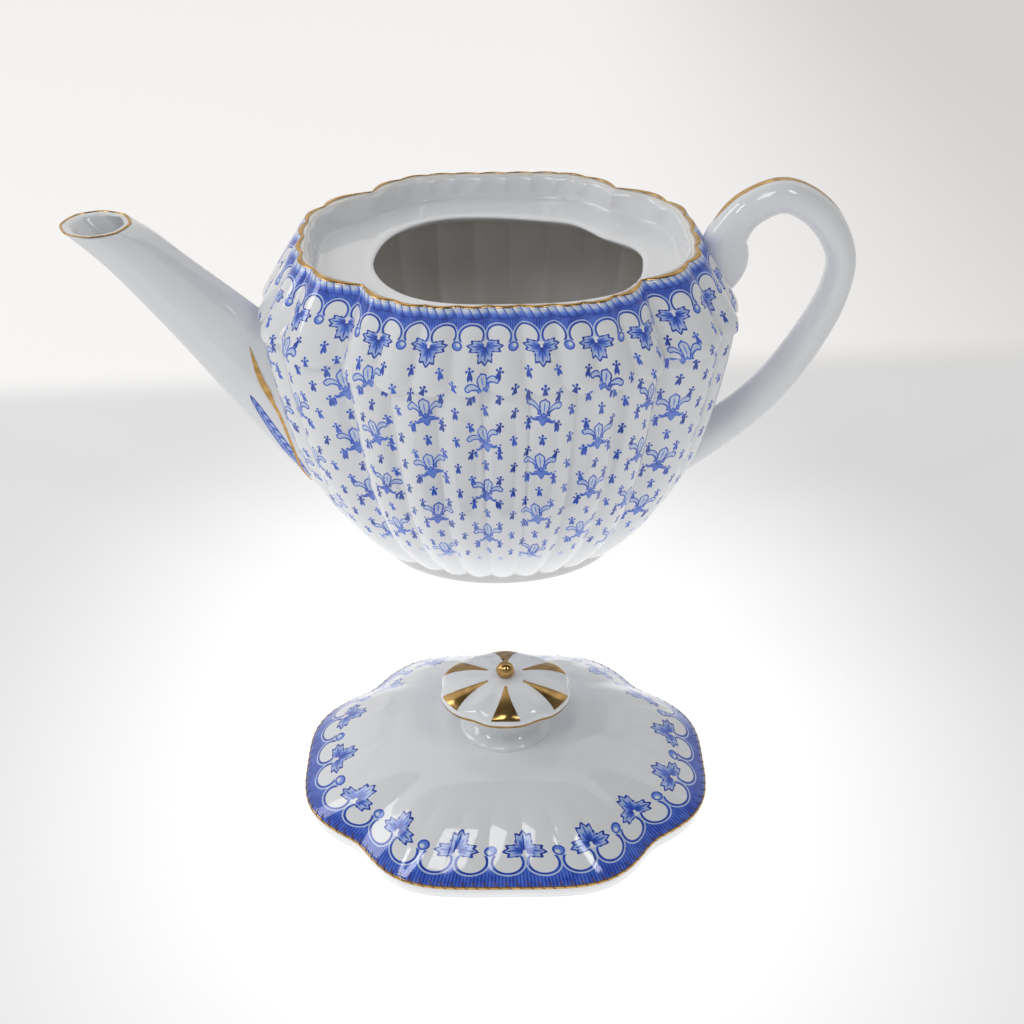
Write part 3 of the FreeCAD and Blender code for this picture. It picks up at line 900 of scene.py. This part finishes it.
def handleRing(stations, index, angles, grow):
    x, z, half = stations[index]
    along = stations[min(index + 1, len(stations) - 1)] - stations[max(index - 1, 0)]
    along = np.array([along[0], 0.0, along[1]])
    out = np.cross(sideways, along / np.linalg.norm(along))
    reach = (half + grow) * np.cos(angles)
    width = (handleLook["half"] + grow) * np.sin(angles)
    return np.array([x, 0.0, z]) + reach[:, None] * out + width[:, None] * sideways


def makeHandle():
    stations = openCurve(handleLook["line"], handleLook["steps"])
    angles = np.linspace(0.0, 2 * math.pi, handleLook["around"], endpoint=False)
    rows = [handleRing(stations, index, angles, 0.0) for index in range(len(stations))]
    loop = gridObject("handleLoop", rows, True, flip=True)
    start, finish = handleLook["stripe"]
    stripe = []
    for index in range(start, finish):
        along = (index - start) / (finish - 1 - start)
        half = handleLook["stripeHalf"] * min(1.0, 6.0 * along + 0.1, 6.0 * (1.0 - along) + 0.1)
        crest = math.pi + np.linspace(-half, half, 7)
        stripe.append(handleRing(stations, index, crest, handleLook["stripeLift"]))
    return loop, gridObject("handleGold", stripe, wrap=False, flip=True)


handleLoop, handleGold = makeHandle()
settle(handleLoop, "pot", "porcelain", plainGlaze, "handle")
settle(handleGold, "pot", "gilding", gold, "handle_gilding")
print("handle made")

# Lid, made at the origin and stood in front of the pot
lidLook = {"place": (-2.5, -116.0), "turn": -1.9, "clearance": 1.3, "notch": (0.70, 0.65),
           "collarNotch": (0.72, 0.70), "skirt": 4.2, "wall": 3.0, "rise": 14.0, "ease": 2.2, "collar": 11.6,
           "arches": 32, "leafX": 5.4, "band": 2.9, "flute": 0.3, "fluteEnd": 0.55, "soften": 9, "gilt": 0.55}
lidRim = insetPlan(upperPlan(1.0), pot["rimWall"] + pot["collarFoot"] + lidLook["clearance"], 0.0)


def stand(rows):
    angle = math.radians(lidLook["turn"])
    c, s = math.cos(angle), math.sin(angle)
    turned = []
    for row in rows:
        x = row[:, 0] * c - row[:, 1] * s + lidLook["place"][0]
        y = row[:, 0] * s + row[:, 1] * c + lidLook["place"][1]
        turned.append(np.stack([x, y, row[:, 2]], axis=1))
    return turned


def lidLevel(t, drop=0.0):
    ease = 1.0 - (1.0 - t) ** lidLook["ease"]
    return {"z": lidLook["skirt"] + lidLook["rise"] * ease - drop,
            "half": mixPair(lidRim["half"], (lidLook["collar"], lidLook["collar"]), t),
            "notch": mixPair(lidLook["notch"], lidLook["collarNotch"], t),
            "square": mixPair(pot["rimSquare"], pot["footSquare"], t)}


def lidRing(plan, lift=0.0):
    return withHeight(smoothRing(plan, lidLook["soften"]), plan["z"] + lift)


def makeLid():
    edgePlan = lidLevel(0.0)
    place = lobePlace(pot["lower"])[2]
    flute = 4.0 * place * (1.0 - place) - 0.6
    outer = []
    for t in np.concatenate([np.linspace(0.0, 0.1, 6), np.linspace(0.13, 1.0, 34)]):
        swell = math.sin(math.pi * min(1.0, t / lidLook["fluteEnd"]))
        outer.append(lidRing(lidLevel(t), lidLook["flute"] * max(0.0, swell) ** 0.8 * flute))
    edge = outer[0]
    giltFoot = withHeight(edge[:, :2], lidLook["skirt"] - lidLook["gilt"])
    skirt = [lidRing(insetPlan(edgePlan, 0.95, 0.0)), lidRing(insetPlan(edgePlan, 0.6, 0.25)), giltFoot]
    inner = [lidRing(insetPlan(edgePlan, lidLook["wall"], 0.0))]
    for t in (0.0, 0.1, 0.2, 0.3, 0.45, 0.6, 0.7):
        inner.append(lidRing(insetPlan(lidLevel(t, lidLook["wall"]), lidLook["wall"] * (1.0 - t))))
    below = [drawnIn(inner[-1], 0.05)] + list(reversed(inner)) + skirt
    arches, around = archesAlong(edge[:, :2], lidLook["arches"], lidLook["leafX"])
    run = rowLengths(outer) - lidLook["band"] + printed["centre"] - printed["outer"]
    uvRows = np.concatenate([np.full(len(below), bareRow), run, [bareRow]])
    dome = gridObject("lidDome", stand(below + outer + [drawnIn(outer[-1], 0.05)]), True, (uvRows, -arches))
    lift = np.array([0.0, 0.0, 0.05])
    band = [drawnIn(giltFoot, 1.0006), lidRing(insetPlan(edgePlan, -0.02), -0.1), edge + lift,
            mix(edge, outer[1], 0.3) + lift]
    print("lid edge runs", round(around, 1), "mm")
    return dome, gridObject("lidEdgeGold", stand(band))


# Slanting strokes of rope drawn over the gilt edge
ropeLook = {"count": 118, "from": (-0.75, 0.03, -0.55), "to": (0.9, -1.1, 0.93), "half": 0.16, "lift": 0.07,
            "grain": (900.0, 0.3, 0.7), "dark": (0.10, 0.05, 0.03, 1.0), "worn": (0.22, 0.11, 0.06, 1.0)}


def ropeMark():
    corner = np.array([0.0, ropeLook["lift"], 0.1])
    middle = np.array([0.0, ropeLook["lift"] + 0.02, 0.12])
    aside = np.array([ropeLook["half"], 0.0, 0.0])
    points = []
    for place in (np.array(ropeLook["from"]) + corner, middle, np.array(ropeLook["to"]) + corner):
        points += [tuple((place - aside) * mm), tuple((place + aside) * mm)]
    mesh = bpy.data.meshes.new("ropeMark")
    mesh.from_pydata(points, [], [(0, 1, 3, 2), (2, 3, 5, 4)])
    return bpy.data.objects.new("ropeMark", mesh)


def alongTree(name):
    # Copies of a mark set out along a closed line, each turned to run with it
    tree = bpy.data.node_groups.new(name, "GeometryNodeTree")
    sockets = {}
    for label, kindOf in (("Line", "Geometry"), ("Count", "Int"), ("Mark", "Object"), ("Ink", "Material")):
        made = tree.interface.new_socket(label, in_out="INPUT", socket_type="NodeSocket" + kindOf)
        sockets[label] = made.identifier
    tree.interface.new_socket("Strokes", in_out="OUTPUT", socket_type="NodeSocketGeometry")
    nodes = {}
    for label, kindOf in (("start", "NodeGroupInput"), ("curve", "GeometryNodeMeshToCurve"),
                          ("spaced", "GeometryNodeResampleCurve"), ("tangent", "GeometryNodeInputTangent"),
                          ("turned", "FunctionNodeAlignRotationToVector"), ("mark", "GeometryNodeObjectInfo"),
                          ("copies", "GeometryNodeInstanceOnPoints"),
                          ("real", "GeometryNodeRealizeInstances"), ("inked", "GeometryNodeSetMaterial"),
                          ("finish", "NodeGroupOutput")):
        nodes[label] = tree.nodes.new(kindOf)
    nodes["turned"].axis = "X"
    nodes["turned"].pivot_axis = "Z"
    for source, given, target, taken in (
            ("start", "Line", "curve", "Mesh"), ("curve", "Curve", "spaced", "Curve"),
            ("start", "Count", "spaced", "Count"), ("start", "Mark", "mark", "Object"),
            ("tangent", "Tangent", "turned", "Vector"), ("spaced", "Curve", "copies", "Points"),
            ("mark", "Geometry", "copies", "Instance"), ("turned", "Rotation", "copies", "Rotation"),
            ("copies", "Instances", "real", "Geometry"), ("real", "Geometry", "inked", "Geometry"),
            ("start", "Ink", "inked", "Material"), ("inked", "Geometry", "finish", "Strokes")):
        tree.links.new(nodes[source].outputs[given], nodes[target].inputs[taken])
    return tree, sockets


def setOutAlong(name, ring, mark, count, material):
    points = (ring + footMiddle) * mm
    mesh = bpy.data.meshes.new(name + "Line")
    mesh.from_pydata(points.tolist(), [(i, (i + 1) % len(points)) for i in range(len(points))], [])
    carrier = addObject(name + "Line", mesh)
    layer = carrier.modifiers.new(name, "NODES")
    layer.node_group, sockets = alongTree(name + "Tree")
    for label, value in (("Count", count), ("Mark", mark), ("Ink", material)):
        layer[sockets[label]] = value
    depsgraph = bpy.context.evaluated_depsgraph_get()
    made = addObject(name, bpy.data.meshes.new_from_object(carrier.evaluated_get(depsgraph)))
    bpy.data.objects.remove(carrier)
    return made


lidDome, lidGold = makeLid()
lidEdge = stand([lidRing(lidLevel(0.0))])[0]
ropeInkGlaze = makeMottled("ropeInk", ropeLook["grain"], ropeLook["dark"], ropeLook["worn"])
lidRope = setOutAlong("lidRope", lidEdge, ropeMark(), ropeLook["count"], ropeInkGlaze)
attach(lidRope, "lid")
settle(lidDome, "lid", "porcelain", lidGlaze, "lid_dome")
settle(lidGold, "lid", "gilding", gold, "lid_gilding")
print("lid made, rope strokes", len(lidRope.data.polygons) // 2)

# Knob: the neck as radius and height over its foot, the cap as shares of its half size and thickness
knobLook = {"foot": 18.2, "neck": 8.0, "half": (17.6, 14.8), "thick": 8.5, "lobes": 6, "ribs": 12,
            "around": 144, "notch": 0.05, "rib": 0.22, "bead": 2.4, "beadLift": 1.5,
            "wedgeStart": 0.28, "wedgeHalf": 13.0,
            "neckLine": ((0.3, -0.4), (12.0, -0.4), (12.1, 0.1), (11.9, 0.6), (11.2, 1.0), (9.8, 1.6),
                         (8.8, 2.6), (8.0, 4.0), (7.7, 5.2), (7.8, 6.6), (8.6, 8.2), (0.3, 8.2)),
            "capLine": ((0.5, 0.0), (0.74, 0.06), (0.92, 0.18), (0.99, 0.34), (0.985, 0.5), (0.92, 0.62),
                        (0.78, 0.74), (0.56, 0.86), (0.3, 0.95), (0.12, 0.99)),
            "edgeLine": ((0.984, 0.29), (0.997, 0.37), (0.991, 0.45))}
knobAngles = -np.linspace(0.0, 2 * math.pi, knobLook["around"], endpoint=False)
capFoot = knobLook["foot"] + knobLook["neck"]


def turnedPiece(name, profile):
    rows = [ovalRing(knobAngles, radius, radius, z) for radius, z in profile]
    return gridObject(name, stand(rows), True)


def makeNeck():
    return turnedPiece("knobNeck", [(radius, knobLook["foot"] + z) for radius, z in knobLook["neckLine"]])


def knobSurface(reach, height, angles):
    # Soft ribs on top, round lobes at the edge with a small notch between
    around = angles + math.radians(90.0)
    lobe = np.cos(around * knobLook["lobes"])
    rib = np.cos(around * knobLook["ribs"])
    edge = reach * (1.0 - knobLook["notch"] * reach ** 6 * (0.5 - 0.5 * lobe) ** 3)
    onTop = np.clip(reach * 1.3 - 0.3, 0.0, 1.0) * np.clip((height - 0.4) * 4.0, 0.0, 1.0)
    z = capFoot + knobLook["thick"] * height + knobLook["rib"] * rib * onTop
    return ovalRing(angles, edge * knobLook["half"][0], edge * knobLook["half"][1], z)


def joinPieces(name, pieces):
    bpy.ops.object.select_all(action="DESELECT")
    for piece in pieces:
        piece.select_set(True)
    bpy.context.view_layer.objects.active = pieces[0]
    bpy.ops.object.join()
    pieces[0].name = name
    return pieces[0]


def makeKnob():
    profile = openCurve(knobLook["capLine"], 4)
    rows = [knobSurface(reach, height, knobAngles) for reach, height in profile]
    cap = gridObject("knobCap", stand([drawnIn(rows[0], 0.05)] + rows + [drawnIn(rows[-1], 0.1)]), True)
    start = knobLook["wedgeStart"]
    wedges = []
    for lobe in range(knobLook["lobes"]):
        middle = math.radians(360.0 / knobLook["lobes"] * lobe - 90.0)
        patch = []
        for reach, height in profile:
            if height > 0.5 and reach > start:
                half = math.radians(knobLook["wedgeHalf"]) * mix(0.25, 1.0, (reach - start) / (1.0 - start))
                patch.append(knobSurface(reach + 0.003, height + 0.006, middle + np.linspace(half, -half, 9)))
        wedges.append(gridObject("knobWedge%d" % lobe, stand(patch), wrap=False))
    edge = [knobSurface(reach, height, knobAngles) for reach, height in knobLook["edgeLine"]]
    wedges.append(gridObject("knobEdge", stand(edge)))
    return cap, joinPieces("knobGold", wedges)


def makeBead():
    radius = knobLook["bead"]
    middle = capFoot + knobLook["thick"] + knobLook["beadLift"]
    angles = np.radians(np.linspace(-88, 88, 24))
    profile = [(max(0.02, radius * math.cos(a)), middle + radius * 0.92 * math.sin(a)) for a in angles]
    return turnedPiece("knobBead", profile)


knobCap, knobGold = makeKnob()
settle(makeNeck(), "lid", "porcelain", plainGlaze, "knob_neck")
settle(knobCap, "lid", "porcelain", plainGlaze, "knob_cap")
settle(knobGold, "lid", "gilding", gold, "knob_gilding")
settle(makeBead(), "lid", "gilding", gold, "knob_bead")
print("knob made")

# Stage, in metres: a pale floor that bends up into the backdrop, glowing with painted light brightest under
# the pot and its lid
stageLook = {"front": -6.0, "bendStart": 2.2, "bend": 1.2, "tall": 8.0, "halfWide": 9.0,
             "paper": (0.30, 0.30, 0.30, 1.0), "glow": 0.92, "edge": 0.54, "rightDim": 0.92,
             "far": 0.73, "farRight": 0.50,
             "table": (1.0, 1.0, 0.995, 1.0), "backdrop": (1.0, 0.975, 0.955, 1.0)}


def makeStage():
    start, bend = stageLook["bendStart"], stageLook["bend"]
    profile = [(stageLook["front"], 0.0)]
    for angle in np.radians(np.linspace(0, 90, 16)):
        profile.append((start + bend * math.sin(angle), bend - bend * math.cos(angle)))
    profile.append((start + bend, stageLook["tall"]))
    points = [(side * stageLook["halfWide"], y, z) for y, z in profile for side in (-1.0, 1.0)]
    faces = [(2 * i, 2 * i + 1, 2 * i + 3, 2 * i + 2) for i in range(len(profile) - 1)]
    mesh = bpy.data.meshes.new("stageSweep")
    mesh.from_pydata(points, [], faces)
    mesh.polygons.foreach_set("use_smooth", [True] * len(mesh.polygons))
    mesh.materials.append(makePaper())
    addObject("stageSweep", mesh)


def makePaper():
    paper, shader = newMaterial("stagePaper")
    feed(shader, "Base Color", stageLook["paper"])
    feed(shader, "Roughness", 0.7)
    feed(shader, "Specular IOR Level", 0.0)
    x, y = splitCoords(objectCoords())[:2]
    x = x - float(footMiddle[0]) * mm
    y = y - float(footMiddle[1]) * mm
    # Painted light: the floor's glow is a pool brightest under the pot and lid, fading towards the edges and
    # dimmer to the right; the backdrop beyond the table's edge glows dimmer to the right
    paintedLightPool = step(length(x * 1.25, y + 0.1), 0.04, 0.24, stageLook["glow"], stageLook["edge"])
    table = paintedLightPool * step(x, 0.03, 0.2, 1.0, stageLook["rightDim"])
    beyond = step(x, 0.05, 0.32, stageLook["far"], stageLook["farRight"])
    glow = table + (beyond - table) * step(y - x * 0.05, 0.104, 0.136)  # the table's back edge
    feed(shader, "Emission Color", colourMix(step(y, 0.1, 0.14), stageLook["table"], stageLook["backdrop"]))
    feed(shader, "Emission Strength", glow)
    return paper


# Lights: place, the height over the foot they aim at, width, height, watts
lightLook = {"softFront": ((-0.2, -0.5, 1.0), 0.05, 0.3, 0.4, 1.6),
             "softLeft": ((-1.0, 0.1, 0.7), 0.05, 0.3, 0.7, 2.2),
             "softBack": ((0.5, 0.9, 1.0), 0.05, 1.6, 0.8, 0.8),
             "windowRight": ((0.42, -0.42, 0.85), 0.08, 0.12, 0.3, 0.75),
             "windowLeft": ((-0.6, -0.4, 0.75), 0.08, 0.12, 0.3, 0.75)}
roomLook = {"tint": (0.97, 0.99, 1.0, 1.0), "walls": 0.58, "ceiling": 0.12, "left": 1.1, "right": 0.75}


def makeLights():
    for name, (place, aim, wide, tall, power) in lightLook.items():
        data = bpy.data.lights.new(name, "AREA")
        data.shape = "RECTANGLE"
        data.size = wide
        data.size_y = tall
        data.energy = power
        lamp = addObject(name, data)
        lamp.location = Vector(place) + Vector(footMiddle) * mm
        lamp.rotation_euler = (Vector((0.0, 0.0, aim)) - Vector(place)).to_track_quat("-Z", "Y").to_euler()


def makeRoom():
    # A dim ceiling over brighter walls
    world = bpy.data.worlds.new("studio")
    bpy.context.scene.world = world
    world.use_nodes = True
    inkTree["tree"] = world.node_tree
    shader = world.node_tree.nodes["Background"]
    x, z = splitCoords(Val(addNode("TexCoord").outputs["Generated"]))[::2]
    height = step(z, 0.15, 0.85, roomLook["walls"], roomLook["ceiling"])
    side = step(x, -0.6, 0.6, roomLook["left"], roomLook["right"])
    feed(shader, "Color", roomLook["tint"])
    feed(shader, "Strength", height * side)


cameraLook = {"place": (-0.01369, -0.42238, 0.28618), "pitch": 56.81, "yaw": -2.42,
              "lens": 52.73, "sensor": 36.0}


def makeCamera():
    data = bpy.data.cameras.new("photoCamera")
    data.sensor_width = cameraLook["sensor"]
    data.lens = cameraLook["lens"]
    data.clip_start = 0.01
    camera = addObject("photoCamera", data)
    camera.location = Vector(cameraLook["place"]) + Vector(footMiddle) * mm
    camera.rotation_euler = (math.radians(cameraLook["pitch"]), 0.0, math.radians(cameraLook["yaw"]))
    bpy.context.scene.camera = camera


makeStage()
makeLights()
makeRoom()
makeCamera()
bpy.context.scene.view_settings.view_transform = "Standard"
print("stage made")
